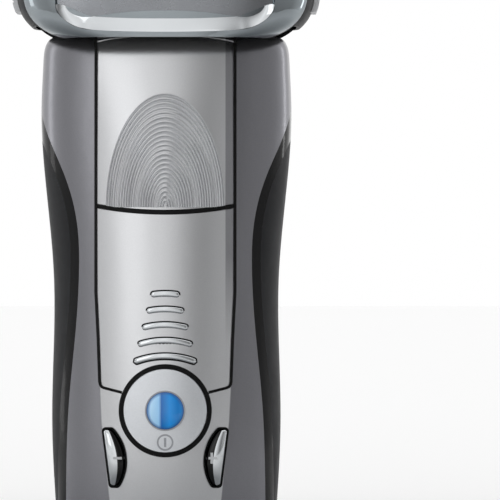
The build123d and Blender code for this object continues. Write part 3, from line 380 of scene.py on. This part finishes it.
# frame pieces that keep their own shape
finishOf = {
    "silver": ("front_housing", "front_plate", "trimmer_slide"),
    "matt": ("head_housing", "rear_housing", "bottom_cap", "foil_ends_front", "foil_ends_rear",
             "trimmer_body", "chassis", "push_switches", "trimmer_guide", "trimmer_carriage"),
    "soft": ("left_grip", "right_grip"),
    "gloss": ("left_grip_trim", "right_grip_trim", "power_socket"),
    "smokedGlass": ("display_window",),
    "disc": ("power_button",),
    "blackChrome": ("bezel_front", "bezel_rear"),
    "smoked": ("cassette_frame",),
    "pale": ("release_button_left", "release_button_right"),
    "grey": ("head_lock_slider", "motor_housing", "drive_bar_front", "drive_bar_rear"),
    "foil": ("foil_front", "foil_rear"),
    "steel": ("cap_screws", "charge_contacts", "chassis_screws", "battery_tabs", "hinge_yoke", "hinge_pins",
              "trimmer_comb", "trimmer_blade", "cutter_front", "cutter_rear", "middle_trimmer_comb",
              "middle_trimmer_blade"),
    "brass": ("socket_pins",), "copper": ("motor_coil",), "board": ("main_board",), "wrap": ("battery_cell",),
    "blue": ("ring_light",), "siliconeAndGapShade": ("neck_seals", "drive_seals", "button_gasket", "side_button_gaskets"),
}


def finishPiece(name, bm, finish, body, slot, nodes=(), smoothAngle=30, second=None):
    # mesh to object: smooth below an angle, with its finish, riding on its body; slot is not used
    mesh = bpy.data.meshes.new(name)
    bm.to_mesh(mesh)
    bm.free()
    mesh.materials.append(finishes[finish])
    mesh.shade_smooth()
    mesh.set_sharp_from_angle(angle=math.radians(smoothAngle))
    if second:
        mesh.materials.append(finishes[second])
    piece = bpy.data.objects.new(name, mesh)
    bpy.context.scene.collection.objects.link(piece)
    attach(piece, body)
    if nodes:
        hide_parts(*nodes)


# merge distances, and the depth in front of the object where probes start
weld, fineWeld = 0.002 * mm, 0.001 * mm
probeStart = -80 * mm
skins = {}
for node in ("front_housing", "front_plate", "trimmer_slide", "power_button", "minus_button", "plus_button"):
    bm = bmesh.new()
    bm.from_mesh(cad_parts[node].data)
    bmesh.ops.remove_doubles(bm, verts=bm.verts, dist=weld)
    skins[node] = BVHTree.FromBMesh(bm)
    bm.free()
for finish, nodes in finishOf.items():
    for node in nodes:
        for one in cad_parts[node].material_slots:
            one.material = finishes[finish]
print("frame pieces finished")


# small shape helpers
def surfaceY(node, x, z, fallback=None):
    # front surface of a carried piece at x, z
    hit = skins[node].ray_cast(Vector((x, probeStart, z)), Vector((0, 1, 0)))[0]
    return hit.y if hit else fallback


def mappedGrid(columns, rows, place):
    # grid whose u and v, both 0 to 1, are placed by a function
    bm = bmesh.new()
    bmesh.ops.create_grid(bm, x_segments=columns, y_segments=rows, size=0.5)
    for v in bm.verts:
        v.co = place(v.co.x + 0.5, v.co.y + 0.5)
    return bm


def faceFront(bm):
    # turn an open skin's faces to the front, -Y
    bmesh.ops.recalc_face_normals(bm, faces=bm.faces)
    total = sum((f.normal.y * f.calc_area() for f in bm.faces), 0.0)
    if total > 0:
        bmesh.ops.reverse_faces(bm, faces=bm.faces)


def archFit(node, z, half):
    # circle through the surface's middle and edges at height z: returns a function of x
    yMid = surfaceY(node, 0.0, z)
    yEdge = surfaceY(node, half, z)
    sag = yEdge - yMid
    radius = (half * half + sag * sag) / (2 * sag)
    return lambda x: yMid + radius - math.sqrt(radius * radius - x * x)


# ridged fan on the thumb slide
ridgeFan = {
    "ridges": 24.5, "halfWidth": 14.2 * mm, "height": 27.1 * mm, "stepsPerRidge": 6, "around": 96,
    "depth": 0.42 * mm, "inner": 0.02, "edgeHalf": 15.8 * mm, "lift": 0.03 * mm, "crest": 0.7,
    "middle": 91.2 * mm, "firstRow": 1.8 * mm, "samples": 40,
    # curved lower edge, just above the gap
    "cutZ": 90.45 * mm, "cutRadius": 89.6 * mm,
}


def makeRidgeFan():
    k = ridgeFan
    middle, samples = k["middle"], k["samples"]
    rowStep = k["height"] / samples
    rowsZ = [middle + k["firstRow"] + i * rowStep for i in range(samples + 1)]
    fits = [archFit("trimmer_slide", z, k["edgeHalf"]) for z in rowsZ]

    def smoothY(x, z):
        t = max(0.0, min(samples - 0.001, (z - rowsZ[0]) / rowStep))
        i = int(t)
        return fits[i](x) * (1 - (t - i)) + fits[i + 1](x) * (t - i)

    def place(u, v):
        s = k["inner"] + (1 - k["inner"]) * v
        angle = math.pi * u
        x = -k["halfWidth"] * s * math.cos(angle)
        low = k["cutZ"] + k["cutRadius"] - math.sqrt(k["cutRadius"] ** 2 - x * x)
        z = max(low, middle + k["height"] * s * math.sin(angle))
        wave = 0.5 - 0.5 * math.cos(2 * math.pi * s * k["ridges"])
        rise = k["depth"] * wave ** k["crest"]
        return Vector((x, smoothY(x, z) - k["lift"] - rise, z))

    bm = mappedGrid(k["around"], int(k["ridges"] * k["stepsPerRidge"]), place)
    bmesh.ops.remove_doubles(bm, verts=bm.verts, dist=weld)
    faceFront(bm)
    finishPiece("ridge_fan", bm, "silver", "thumb_slide", "silver_paint", (), 60)


makeRidgeFan()
print("ridges made")

# painted shade in the seams round the panel: black strips stand in for the shade in the gaps
seam = {"nodes": ("front_housing", "front_plate", "trimmer_slide"),
        # half-width and height down one side and in under the foot, mm
        "path": ((16.65, 132.0), (16.65, 101.0), (16.65, 71.0), (16.1, 60.0), (15.72, 49.6), (15.58, 48.9),
                 (15.2, 48.35), (14.6, 48.1), (12.4, 47.55), (10.1, 47.0)),
        "half": 0.33 * mm, "lift": 0.1 * mm, "reach": 0.6 * mm, "steps": 8,
        # the line clears the thumb slide over its whole travel
        "sweep": (0.0, 1.5 * mm, 3.0 * mm),
        "topProbe": 131.2 * mm, "fallbackY": -0.0165,
        "arcZ": 90.0 * mm, "arcRadius": 89.6 * mm, "arcHalf": 16.5 * mm, "arcMiddle": 0.62 * mm,
        "arcEnd": 0.45 * mm, "arcDeep": 0.12 * mm, "arcBelow": 2.2 * mm, "arcNarrow": 0.97, "arcSteps": 48}


def makeSideSeam(side):
    # painted shade: a black strip that follows the gap down the panel's edge and in under its foot
    k = seam
    path = [Vector((x * mm, z * mm)) for x, z in k["path"]]
    count = len(path) - 1
    normals = []
    for i in range(count + 1):
        along = (path[min(i + 1, count)] - path[max(i - 1, 0)]).normalized()
        normals.append(Vector((-along.y, along.x)))

    def place(u, v):
        t = min(u * count, count - 1e-6)
        i = int(t)
        spot = path[i].lerp(path[i + 1], t - i)
        out = normals[i].lerp(normals[i + 1], t - i).normalized()
        across = (v - 0.5) * 2
        here = spot + out * across * k["half"]
        probe = spot + out * k["reach"] * (1 if across > 0 else -1)
        ys = [surfaceY(node, side * probe.x, min(probe.y, k["topProbe"]) - down)
              for node in k["nodes"] for down in k["sweep"]]
        y = min([one for one in ys if one is not None], default=k["fallbackY"])
        return Vector((side * here.x, y - k["lift"], here.y))
    bm = mappedGrid(count * k["steps"], 1, place)
    faceFront(bm)
    name = "panel_seam_" + ("left" if side < 0 else "right")
    finishPiece(name, bm, "siliconeAndGapShade", "handle", "seal_rubber", (), 60)


def makeArcSeam():
    # painted shade: a black strip in the gap between the thumb slide and the plate
    k = seam

    def place(u, v):
        x = (u - 0.5) * 2 * k["arcHalf"]
        middle = k["arcZ"] + k["arcRadius"] - math.sqrt(k["arcRadius"] ** 2 - x * x)
        half = k["arcMiddle"] + (k["arcEnd"] - k["arcMiddle"]) * abs(u - 0.5) * 2
        y = surfaceY("front_plate", x * k["arcNarrow"], middle - k["arcBelow"])
        return Vector((x, y + k["arcDeep"], middle + (v - 0.5) * 2 * half))
    bm = mappedGrid(k["arcSteps"], 2, place)
    faceFront(bm)
    finishPiece("slide_gap", bm, "siliconeAndGapShade", "handle", "seal_rubber", (), 60)


makeSideSeam(-1)
makeSideSeam(1)
makeArcSeam()
print("seams made")

# curved bars
barSet = {"count": 5, "topHeight": 70.56 * mm, "pitch": 3.71 * mm, "thickness": 1.36 * mm,
          "radius": 20.2 * mm, "firstWidth": 6.8 * mm, "widthStep": 2.11 * mm, "rise": 0.27 * mm,
          "outline": 0.3 * mm, "inset": 0.06 * mm, "slotLift": 0.05 * mm, "barLift": 0.06 * mm,
          "archHalf": 12 * mm, "along": 36, "across": 10}


def barPlace(width, z0, thickness, lift, rise):
    # u along the bar with round ends, v across it with a domed crown
    probeZ = z0 + barSet["pitch"] / 2
    yMid = surfaceY("front_plate", 0.0, probeZ)
    sag = surfaceY("front_plate", barSet["archHalf"], probeZ) - yMid
    arch = (barSet["archHalf"] ** 2 + sag * sag) / (2 * sag)

    def place(u, v):
        along = (u - 0.5) * width
        endRoom = width / 2 - abs(along)
        half = thickness / 2
        if endRoom < half:
            half = math.sqrt(max(0.0, half * half - (half - endRoom) ** 2))
        across = (v - 0.5) * 2
        angle = along / barSet["radius"]
        r = barSet["radius"] + across * half
        x = r * math.sin(angle)
        z = z0 - barSet["radius"] + r * math.cos(angle)
        crown = math.sqrt(max(0.0, 1 - across * across)) * (half / (thickness / 2))
        y = yMid + arch - math.sqrt(arch * arch - x * x)
        return Vector((x, y - lift - rise * crown, z))
    return place


def makeBars():
    k = barSet
    # the first layer is painted shade: a black patch a little wider than each bar, for the shade in the slot
    # round it
    layers = (("bar_slot_shade", k["outline"], k["slotLift"], 0.0, "siliconeAndGapShade", "seal_rubber", ()),
              ("accent_bars_crowned", -k["inset"], k["barLift"], k["rise"] - k["barLift"], "chrome", "chrome",
               ("accent_bars",)))
    for name, grow, lift, rise, finish, slot, nodes in layers:
        whole = bmesh.new()
        for i in range(k["count"]):
            width = k["firstWidth"] + i * k["widthStep"] + 2 * grow
            z0 = k["topHeight"] - i * k["pitch"]
            place = barPlace(width, z0, k["thickness"] + 2 * grow, lift, rise)
            bm = mappedGrid(k["along"], k["across"], place)
            bmesh.ops.remove_doubles(bm, verts=bm.verts, dist=fineWeld)
            faceFront(bm)
            mesh = bpy.data.meshes.new("bar")
            bm.to_mesh(mesh)
            bm.free()
            whole.from_mesh(mesh)
            bpy.data.meshes.remove(mesh)
        finishPiece(name, whole, finish, "handle", slot, nodes, 70)


makeBars()
print("bars made")

# power button
powerKey = {"height": 42.74 * mm, "lensRadius": 4.45 * mm, "lensRise": 0.75 * mm, "seatWidth": 0.35 * mm,
            "symbolHeight": 35.2 * mm, "symbolOuter": 1.98 * mm, "symbolInner": 1.57 * mm,
            "barWidth": 0.55 * mm, "barHeight": 2.2 * mm, "inkLift": 0.03 * mm,
            "seatGap": 0.02 * mm, "seatDeep": 0.5 * mm, "seatProud": 0.14 * mm, "domeStep": 9}


def spunAboutY(profile, x, z, steps=64):
    # solid of revolution about a line along Y; profile is (radius, y) pairs
    bm = bmesh.new()
    verts = [bm.verts.new((x + r, y, z)) for r, y in profile]
    edges = [bm.edges.new(pair) for pair in zip(verts, verts[1:])]
    bmesh.ops.spin(bm, geom=verts + edges, cent=(x, 0, z), axis=(0, 1, 0), angle=2 * math.pi, steps=steps,
                   use_merge=True, use_duplicate=False)
    bmesh.ops.remove_doubles(bm, verts=bm.verts, dist=weld)
    bmesh.ops.recalc_face_normals(bm, faces=bm.faces)
    return bm


def makeLens():
    k = powerKey
    r, rise, z = k["lensRadius"], k["lensRise"], k["height"]
    base = lensHigh[1]
    rim = lensLow[1] + rise
    curve = [(r * math.cos(math.radians(a)), rim - rise * math.sin(math.radians(a)))
             for a in range(0, 91, k["domeStep"])]
    profile = [(0.0, base), (r, base), (r, rim)] + curve[1:-1] + [(0.0, rim - rise)]
    dome = spunAboutY(profile, 0.0, z)
    finishPiece("power_lens_dome", dome, "blue", "power_key", "blue_lens", ("power_lens",), 40)
    inner, outer = r + k["seatGap"], r + k["seatWidth"]
    front, back = rim - k["seatProud"], rim + k["seatDeep"]
    ring = [(inner, back), (inner, front), (outer, front), (outer, back)]
    seat = spunAboutY(ring + ring[:1], 0.0, z)
    finishPiece("lens_seat_ring", seat, "ink", "power_key", "black_plastic", (), 40)


def flatOnButton(bm, node, lift):
    # drop flat shapes onto a piece's front surface
    for v in bm.verts:
        y = surfaceY(node, v.co.x, v.co.z)
        v.co.y = (y if y is not None else v.co.y) - lift


def ringShape(x, z, outer, inner, segments=48):
    bm = bmesh.new()
    made = bmesh.ops.create_circle(bm, segments=segments, radius=outer, cap_ends=False)
    for v in made["verts"]:
        v.co = Vector((x + v.co.x, 0, z + v.co.y))
    edges = bm.edges[:]
    extruded = bmesh.ops.extrude_edge_only(bm, edges=edges)["geom"]
    for v in (g for g in extruded if isinstance(g, bmesh.types.BMVert)):
        away = Vector((v.co.x - x, 0, v.co.z - z))
        v.co = Vector((x, 0, z)) + away * (inner / outer)
    return bm


def barShape(bm, x, z, width, height, columns=4, rows=8):
    made = bmesh.ops.create_grid(bm, x_segments=columns, y_segments=rows, size=0.5)
    for v in made["verts"]:
        v.co = Vector((x + v.co.x * width, 0, z + v.co.y * height))


def makePowerSymbol():
    bm = ringShape(0.0, powerKey["symbolHeight"], powerKey["symbolOuter"], powerKey["symbolInner"])
    barShape(bm, 0.0, powerKey["symbolHeight"], powerKey["barWidth"], powerKey["barHeight"])
    flatOnButton(bm, "power_button", powerKey["inkLift"])
    faceFront(bm)
    finishPiece("power_symbol", bm, "ink", "power_key", "black_plastic", (), 60)


makeLens()
makePowerSymbol()
print("power button made")

# minus and plus buttons
sideKey = {"topIn": 12.8 * mm, "topOut": 14.8 * mm, "topZ": 38.3 * mm,
           "footIn": 11.3 * mm, "footOut": 13.1 * mm, "footZ": 24.7 * mm, "bulgeIn": 9.6 * mm,
           "crown": 0.95 * mm,
           "signZ": 31.4 * mm, "signX": 11.1 * mm, "signLong": 2.6 * mm, "signThick": 0.6 * mm,
           # painted dark reflection on the chrome: its share of the width, from the inner edge
           "paintedReflectionFrom": 0.09, "paintedReflectionTo": 0.44,
           "bulgeAt": 0.48, "endRound": 0.05, "seat": 0.75 * mm, "inset": 1 * mm,
           "crownPower": 0.8, "endPower": 5, "signLift": 0.04 * mm, "along": 48, "across": 16}


def sideOutline(t):
    # inner and outer x and z of the D at t from foot 0 to top 1
    k = sideKey
    z = k["footZ"] + (k["topZ"] - k["footZ"]) * t
    outer = k["footOut"] + (k["topOut"] - k["footOut"]) * t
    chord = k["footIn"] + (k["topIn"] - k["footIn"]) * t
    bulge = k["footIn"] + (k["topIn"] - k["footIn"]) * k["bulgeAt"] - k["bulgeIn"]
    inner = chord - bulge * (1 - (2 * t - 1) ** 2)
    toEnd = min(t, 1 - t) / k["endRound"]
    soften = math.sqrt(max(0.0, 1 - (1 - toEnd) ** 2)) if toEnd < 1 else 1.0
    mid = (outer + inner) / 2
    return mid + (inner - mid) * soften, mid + (outer - mid) * soften, z


def makeSideButton(side, name, body, node):
    k = sideKey
    low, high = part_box(node)

    def place(u, v):
        inner, outer, z = sideOutline(u)
        x = inner + (outer - inner) * v
        probeZ = min(max(z, low[2] + k["inset"]), high[2] - k["inset"])
        y = surfaceY(node, side * ((inner + outer) / 2), probeZ, seam["fallbackY"])
        across = math.sqrt(max(0.0, 1 - (2 * v - 1) ** 2))
        along = math.sqrt(max(0.0, 1 - abs(2 * u - 1) ** k["endPower"]))
        return Vector((side * x, y + k["seat"] - k["crown"] * across ** k["crownPower"] * along, z))
    bm = mappedGrid(k["along"], k["across"], place)
    bmesh.ops.remove_doubles(bm, verts=bm.verts, dist=fineWeld)
    faceFront(bm)
    rim = [e for e in bm.edges if e.is_boundary]
    wall = bmesh.ops.extrude_edge_only(bm, edges=rim)["geom"]
    for v in (g for g in wall if isinstance(g, bmesh.types.BMVert)):
        v.co.y = high[1]
    bmesh.ops.holes_fill(bm, edges=[e for e in bm.edges if e.is_boundary])
    bmesh.ops.recalc_face_normals(bm, faces=bm.faces)
    skins[name] = BVHTree.FromBMesh(bm)
    # painted reflection: front faces in a band near the inner edge get the gloss black finish
    for face in bm.faces:
        spot = face.calc_center_median()
        t = (spot.z - k["footZ"]) / (k["topZ"] - k["footZ"])
        inner, outer, _ = sideOutline(min(max(t, 0.0), 1.0))
        share = (side * spot.x - inner) / max(outer - inner, 0.1 * mm)
        if k["paintedReflectionFrom"] < share < k["paintedReflectionTo"] and face.normal.y < -0.1:
            face.material_index = 1
    finishPiece(name, bm, "chrome", body, "chrome", (node,), 50, "gloss")
    sign = bmesh.new()
    barShape(sign, side * k["signX"], k["signZ"], k["signLong"], k["signThick"])
    if side > 0:
        barShape(sign, side * k["signX"], k["signZ"], k["signThick"], k["signLong"])
    flatOnButton(sign, name, k["signLift"])
    faceFront(sign)
    finishPiece(name + "_sign", sign, "pale", body, "smoked_chrome", (), 60)


makeSideButton(-1, "minus_button_dome", "minus_key", "minus_button")
makeSideButton(1, "plus_button_dome", "plus_key", "plus_button")
print("side buttons made")

# concave lining of the bezel's recess
scoop = {"lip": 131.6 * mm, "halfWidth": 35.1 * mm, "halfDepth": 22.0 * mm,
         # above the lip, narrower, shallower, mm
         "stations": ((0.0, 9.7, 0.7), (1.7, 5.3, 0.5), (4.1, 2.3, 0.25), (8.9, 0.0, 0.0), (14.4, 0.2, 0.3),
                      (18.4, 1.4, 1.4)),
         "edge": ((0.0, 1.2), (8.0, 1.25), (16.0, 1.6), (19.0, 2.0), (21.0, 2.5), (23.0, 3.5), (24.5, 4.7),
                  (25.6, 6.2), (26.05, 7.7)),
         "band": 3.2 * mm, "deep": 1.2 * mm, "lift": 0.02 * mm, "steps": 6, "across": 12}


def smoothTrack(rows, t):
    # point on a smooth curve through rows, t from 0 to len(rows) - 1
    i = min(int(t), len(rows) - 2)
    f = t - i
    p0, p1, p2, p3 = (rows[max(0, min(len(rows) - 1, i + k))] for k in (-1, 0, 1, 2))
    return [0.5 * (2 * b + (c - a) * f + (2 * a - 5 * b + 4 * c - d) * f * f
                   + (3 * b - a - 3 * c + d) * f ** 3) for a, b, c, d in zip(p0, p1, p2, p3)]


def headFace(x, z):
    # front of the chrome bezel at x, z
    k = scoop
    rise = (z - k["lip"]) / mm
    rows = k["stations"]
    i = max(i for i in range(len(rows) - 1) if rows[i][0] <= max(rise, 0.0))
    f = (rise - rows[i][0]) / (rows[i + 1][0] - rows[i][0])
    _, narrow, shallow = smoothTrack(rows, i + f)
    wide, deep = k["halfWidth"] - narrow * mm, k["halfDepth"] - shallow * mm
    return -deep * (1 - min(1.0, abs(x) / wide) ** 4) ** 0.25


def makeScoopLining():
    k = scoop
    rows = [(-x, z) for x, z in k["edge"][:0:-1]] + list(k["edge"])
    count = (len(rows) - 1) * k["steps"]
    track = [smoothTrack(rows, i / k["steps"]) for i in range(count + 1)]
    path = [Vector((x * mm, k["lip"] + z * mm)) for x, z in track]
    inwards = []
    for i in range(count + 1):
        along = (path[min(i + 1, count)] - path[max(i - 1, 0)]).normalized()
        inwards.append(Vector((-along.y, along.x)))

    def place(u, v):
        t = min(u * count, count - 1e-6)
        i = int(t)
        spot = path[i].lerp(path[i + 1], t - i)
        inward = inwards[i].lerp(inwards[i + 1], t - i).normalized()
        here = spot + inward * (v * k["band"])
        deep = k["deep"] * (1 - (1 - v) ** 2)
        return Vector((here.x, headFace(here.x, here.y) + deep - k["lift"], here.y))
    bm = mappedGrid(count, k["across"], place)
    faceFront(bm)
    finishPiece("bezel_recess_lining", bm, "chrome", "head", "chrome", (), 60)


makeScoopLining()
print("bezel lining made")

# camera, light and floor
studio = {
    # name: place, width, height in m, power in W
    "lamps": {"key softbox": ((-0.34, -0.8, 0.28), 0.3, 0.5, 0.35),
              "left strip": ((-0.6, 0.1, 0.15), 0.16, 0.6, 0.35),
              "right rim strip": ((0.5, 0.22, 0.12), 0.06, 0.5, 0.25)},
    "aim": (0, 0, 0.09), "lens": 360, "sensor": 36, "distance": 1.208, "centreX": 0.0202, "centreZ": 0.081,
    "clipEnd": 20, "world": 1.0, "flagRadius": 0.42, "flagTop": 0.75,
    # degrees round from the camera, right positive: how dark the flag is there
    "flags": ((-90, 0.05), (-75, 0.3), (-55, 0.42), (-44, 0.3), (-34, 0.14), (-27, 0.12), (-18, 0.18),
              (-2, 0.0), (7, 0.3), (15, 0.66), (24, 0.8), (34, 0.6), (75, 0.5), (95, 0.25), (112, 0.1)),
}


def makeFlags():
    # dark studio flags round the front, soft at their edges and unseen by the camera
    bm = bmesh.new()
    radius, top = studio["flagRadius"], studio["flagTop"]
    bmesh.ops.create_cone(bm, cap_ends=False, segments=96, radius1=radius, radius2=radius, depth=top)
    bmesh.ops.translate(bm, verts=bm.verts, vec=(0, 0, top / 2))
    mesh = bpy.data.meshes.new("flags")
    bm.to_mesh(mesh)
    bm.free()
    mat, tree, bsdf, coords = newMaterial("black scrim cloth", {})
    sweep = addNode(tree, "ShaderNodeTexGradient", {"gradient_type": "RADIAL"}, {"Vector": coords})
    ramp = addNode(tree, "ShaderNodeValToRGB", None, {"Fac": sweep.outputs["Fac"]})
    stops = ramp.color_ramp.elements
    stops.remove(stops[1])
    stops[0].position, stops[0].color = 0.0, (1, 1, 1, 1)
    for degrees, dark in studio["flags"]:
        stops.new(0.25 + degrees / 360).color = (1 - dark, 1 - dark, 1 - dark, 1)
    cloth = addNode(tree, "ShaderNodeBsdfTransparent", None, {"Color": ramp.outputs["Color"]})
    tree.links.new(cloth.outputs["BSDF"], tree.nodes["Material Output"].inputs["Surface"])
    tree.nodes.remove(bsdf)
    mesh.materials.append(mat)
    flags = bpy.data.objects.new("flags", mesh)
    flags.visible_camera = False
    bpy.context.scene.collection.objects.link(flags)
    return flags


def areaLight(name, place, width, height, power):
    data = bpy.data.lights.new(name, "AREA")
    data.energy = power
    data.shape = "RECTANGLE"
    data.size, data.size_y = width, height
    lamp = bpy.data.objects.new(name, data)
    lamp.location = place
    aim = Vector(studio["aim"]) - Vector(place)
    lamp.rotation_euler = aim.to_track_quat("-Z", "Y").to_euler()
    bpy.context.scene.collection.objects.link(lamp)


def makeStudio():
    camData = bpy.data.cameras.new("camera")
    camData.lens, camData.sensor_width = studio["lens"], studio["sensor"]
    camData.clip_end = studio["clipEnd"]
    cam = bpy.data.objects.new("camera", camData)
    cam.location = (studio["centreX"], -studio["distance"], studio["centreZ"])
    cam.rotation_euler = (math.radians(90), 0, 0)
    bpy.context.scene.collection.objects.link(cam)
    bpy.context.scene.camera = cam

    for name, (place, width, height, power) in studio["lamps"].items():
        areaLight(name, place, width, height, power)

    bm = bmesh.new()
    bmesh.ops.create_grid(bm, x_segments=2, y_segments=2, size=paper["half"])
    bmesh.ops.translate(bm, verts=bm.verts, vec=(0, 0, -paper["drop"]))
    mesh = bpy.data.meshes.new("floor")
    bm.to_mesh(mesh)
    bm.free()
    mesh.materials.append(stagePaper())
    floor = bpy.data.objects.new("floor", mesh)
    bpy.context.scene.collection.objects.link(floor)
    makeFlags()

    world = bpy.data.worlds.new("studio")
    bpy.context.scene.world = world
    world.use_nodes = True
    back = world.node_tree.nodes["Background"]
    back.inputs["Color"].default_value = (1, 1, 1, 1)
    back.inputs["Strength"].default_value = studio["world"]
    bpy.context.scene.view_settings.view_transform = "Standard"


makeStudio()
print("studio set")
